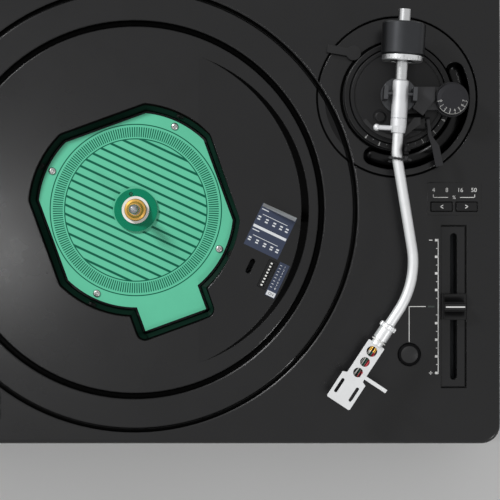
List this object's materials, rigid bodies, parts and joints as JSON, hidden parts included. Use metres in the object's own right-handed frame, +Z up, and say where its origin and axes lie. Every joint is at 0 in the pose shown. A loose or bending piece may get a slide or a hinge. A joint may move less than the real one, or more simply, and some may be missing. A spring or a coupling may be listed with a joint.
{
  "type": "dj turntable",
  "caption": "Direct-drive turntable with its platter lifted off: stepped record well, S-shaped tonearm, pitch fader, push buttons and levelling feet.",
  "frame": {"origin": "middle of the plinth's plan, on the surface that the feet stand on", "axes": "+Z up, +X to the right towards the tonearm, +Y to the back"},
  "size_m": [0.45, 0.352, 0.1481],
  "materials": {
    "black_deck": "fine-textured satin black",
    "black_base": "fine-grained matt black",
    "bottom_sheet": "satin black",
    "screw_steel": "plain",
    "foot_rubber": "matt",
    "green_board": "lacquered",
    "dark_green": "satin",
    "white_nylon": "satin",
    "copper_winding": "lacquered wire",
    "hub_brass": "turned",
    "bright_steel": "polished",
    "bearing_steel": "turned",
    "bracket_steel": "zinc plated",
    "label_film": "satin print",
    "black_plastic": "satin",
    "gloss_black": "gloss",
    "black_alu": "black anodised satin",
    "silver_alu": "satin",
    "grey_plate": "satin",
    "weight_metal": "satin nickel",
    "gold_contact": "gold plated",
    "lead_wire": "coloured sleeves",
    "tie_wire": "satin",
    "circuit_board": "lacquered",
    "transformer_iron": "varnished"
  },
  "bodies": {
    "plinth": {"deck_shell": "black_deck", "base_housing": "black_base", "bottom_cover": "bottom_sheet", "base_screws": "screw_steel", "motor_bracket": "bracket_steel", "motor_board": "green_board", "board_screws": "screw_steel", "stator_coils": "copper_winding", "bearing_housing": "bearing_steel", "centre_disc": "dark_green", "spacer_ring": "white_nylon", "deck_labels": "label_film", "dip_switch_body": "black_plastic", "arm_mount_base": "black_alu", "fader_track": "black_plastic", "control_board": "circuit_board", "transformer": "transformer_iron", "rear_panel": "bottom_sheet", "audio_jacks": "gold_contact", "ground_post": "gold_contact", "mains_inlet": "black_plastic"},
    "rotor": {"platter_hub": "hub_brass", "spindle_shaft": "bright_steel"},
    "setup_sliders": {"dip_sliders": "white_nylon"},
    "foot_front_left": {"foot_front_left": "foot_rubber"},
    "foot_front_right": {"foot_front_right": "foot_rubber"},
    "foot_back_left": {"foot_back_left": "foot_rubber"},
    "foot_back_right": {"foot_back_right": "foot_rubber"},
    "height_ring": {"height_ring": "black_alu"},
    "height_lock": {"height_lock_lever": "black_plastic"},
    "arm_base": {"arm_platform": "black_alu", "anti_skate_housing": "grey_plate", "lifter_block": "black_alu", "arm_rest": "black_plastic"},
    "anti_skate_dial": {"anti_skate_dial": "black_plastic"},
    "cue_lever": {"cue_lever": "grey_plate"},
    "lifter_bar": {"lifter_bar": "black_plastic"},
    "rest_clip": {"rest_clip": "black_plastic"},
    "yoke": {"gimbal_yoke": "black_alu"},
    "tonearm": {"pivot_housing": "silver_alu", "arm_tube": "silver_alu", "rear_shaft": "silver_alu", "arm_tie": "tie_wire"},
    "weight_carrier": {"weight_bush": "black_plastic"},
    "counterweight": {"counterweight": "weight_metal"},
    "force_dial": {"force_dial": "black_plastic"},
    "headshell_collar": {"headshell_collar": "silver_alu"},
    "headshell": {"headshell": "silver_alu", "headshell_gasket": "white_nylon", "finger_lift": "silver_alu", "headshell_pins": "gold_contact", "headshell_wires": "lead_wire"},
    "fader_cap": {"fader_cap": "black_plastic"},
    "reset_button": {"reset_button": "gloss_black"},
    "range_button_left": {"range_button_left": "black_plastic"},
    "range_button_right": {"range_button_right": "black_plastic"},
    "start_stop_button": {"start_stop_button": "black_plastic"},
    "speed_button_33": {"speed_button_33": "black_plastic"},
    "speed_button_45": {"speed_button_45": "black_plastic"},
    "power_knob": {"power_knob": "black_alu"}
  },
  "joints": [
    {"name": "spindle_spin", "type": "hinge", "parent": "plinth", "child": "rotor", "pos_m": [-0.05, 0, 0.1], "axis": [0, 0, 1], "continuous": true},
    {"name": "height_turn", "type": "hinge", "parent": "plinth", "child": "height_ring", "pos_m": [0.14716, 0.0845, 0.105], "axis": [0, 0, 1], "range_deg": [0, 99.7]},
    {"name": "arm_lift", "type": "slide", "parent": "plinth", "child": "arm_base", "axis": [0, 0, 1], "range_m": [0, 0.006]},
    {"name": "height_lock_turn", "type": "hinge", "parent": "plinth", "child": "height_lock", "pos_m": [0.11449, 0.11717, 0.102], "axis": [0, 0, 1], "range_deg": [-30, 30]},
    {"name": "arm_yaw", "type": "hinge", "parent": "arm_base", "child": "yoke", "pos_m": [0.14716, 0.0845, 0.114], "axis": [0, 0, 1], "range_deg": [-46, 0]},
    {"name": "arm_tilt", "type": "hinge", "parent": "yoke", "child": "tonearm", "pos_m": [0.14716, 0.0845, 0.132], "axis": [-0.9983, 0.0576, 0], "range_deg": [-2.5, 7]},
    {"name": "weight_slide", "type": "slide", "parent": "tonearm", "child": "weight_carrier", "axis": [-0.0576, -0.9983, 0], "range_m": [-0.003, 0.003]},
    {"name": "weight_turn", "type": "hinge", "parent": "weight_carrier", "child": "counterweight", "pos_m": [0.14946, 0.12443, 0.132], "axis": [-0.0576, -0.9983, 0], "range_deg": [-540, 540]},
    {"name": "force_dial_turn", "type": "hinge", "parent": "counterweight", "child": "force_dial", "pos_m": [0.14946, 0.12443, 0.132], "axis": [-0.0576, -0.9983, 0], "continuous": true},
    {"name": "collar_turn", "type": "hinge", "parent": "tonearm", "child": "headshell_collar", "pos_m": [0.13928, -0.08504, 0.132], "axis": [-0.549, -0.8358, 0], "range_deg": [0, 40]},
    {"name": "headshell_release", "type": "slide", "parent": "tonearm", "child": "headshell", "axis": [-0.549, -0.8358, 0], "range_m": [0, 0.015]},
    {"name": "anti_skate_turn", "type": "hinge", "parent": "arm_base", "child": "anti_skate_dial", "pos_m": [0.18615, 0.0813, 0.12], "axis": [0, 0, 1], "range_deg": [0, 270]},
    {"name": "cue_turn", "type": "hinge", "parent": "arm_base", "child": "cue_lever", "pos_m": [0.16895, 0.0649, 0.1149], "axis": [1, 0, 0], "range_deg": [-20.1, 0]},
    {"name": "lifter_travel", "type": "slide", "parent": "arm_base", "child": "lifter_bar", "axis": [0, 0, 1], "range_m": [-0.007, 0]},
    {"name": "clip_swing", "type": "hinge", "parent": "arm_base", "child": "rest_clip", "pos_m": [0.15153, 0.04318, 0.1357], "axis": [0.0576, 0.9983, 0], "range_deg": [-88, 80]},
    {"name": "pitch_slide", "type": "slide", "parent": "plinth", "child": "fader_cap", "axis": [0, 1, 0], "range_m": [-0.05, 0.05]},
    {"name": "setup_slide", "type": "slide", "parent": "plinth", "child": "setup_sliders", "axis": [0.9018, -0.4321, 0], "range_m": [0, 0.0012]},
    {"name": "reset_press", "type": "slide", "parent": "plinth", "child": "reset_button", "axis": [0, 0, 1], "range_m": [-0.0015, 0], "stiffness_N_per_m": 300, "springref_m": 0.0015},
    {"name": "range_left_press", "type": "slide", "parent": "plinth", "child": "range_button_left", "axis": [0, 0, 1], "range_m": [-0.0012, 0], "stiffness_N_per_m": 300, "springref_m": 0.0015},
    {"name": "range_right_press", "type": "slide", "parent": "plinth", "child": "range_button_right", "axis": [0, 0, 1], "range_m": [-0.0012, 0], "stiffness_N_per_m": 300, "springref_m": 0.0015},
    {"name": "start_stop_press", "type": "slide", "parent": "plinth", "child": "start_stop_button", "axis": [0, 0, 1], "range_m": [-0.0015, 0], "stiffness_N_per_m": 400, "springref_m": 0.0015},
    {"name": "speed_33_press", "type": "slide", "parent": "plinth", "child": "speed_button_33", "axis": [0, 0, 1], "range_m": [-0.0015, 0], "stiffness_N_per_m": 300, "springref_m": 0.0015},
    {"name": "speed_45_press", "type": "slide", "parent": "plinth", "child": "speed_button_45", "axis": [0, 0, 1], "range_m": [-0.0015, 0], "stiffness_N_per_m": 300, "springref_m": 0.0015},
    {"name": "power_turn", "type": "hinge", "parent": "plinth", "child": "power_knob", "pos_m": [-0.2, -0.102, 0.1], "axis": [0, 0, 1], "range_deg": [-50, 0]},
    {"name": "foot_front_left_level", "type": "slide", "parent": "plinth", "child": "foot_front_left", "axis": [0, 0, 1], "range_m": [-0.006, 0]},
    {"name": "foot_front_right_level", "type": "slide", "parent": "plinth", "child": "foot_front_right", "axis": [0, 0, 1], "range_m": [-0.006, 0]},
    {"name": "foot_back_left_level", "type": "slide", "parent": "plinth", "child": "foot_back_left", "axis": [0, 0, 1], "range_m": [-0.006, 0]},
    {"name": "foot_back_right_level", "type": "slide", "parent": "plinth", "child": "foot_back_right", "axis": [0, 0, 1], "range_m": [-0.006, 0]}
  ],
  "couplings": [
    {"joint": "height_turn", "follows": "arm_lift", "rad_per_m": 289.7},
    {"joint": "weight_slide", "follows": "weight_turn", "m_per_rad": 0.000318},
    {"joint": "cue_turn", "follows": "lifter_travel", "rad_per_m": 49.86}
  ]
}
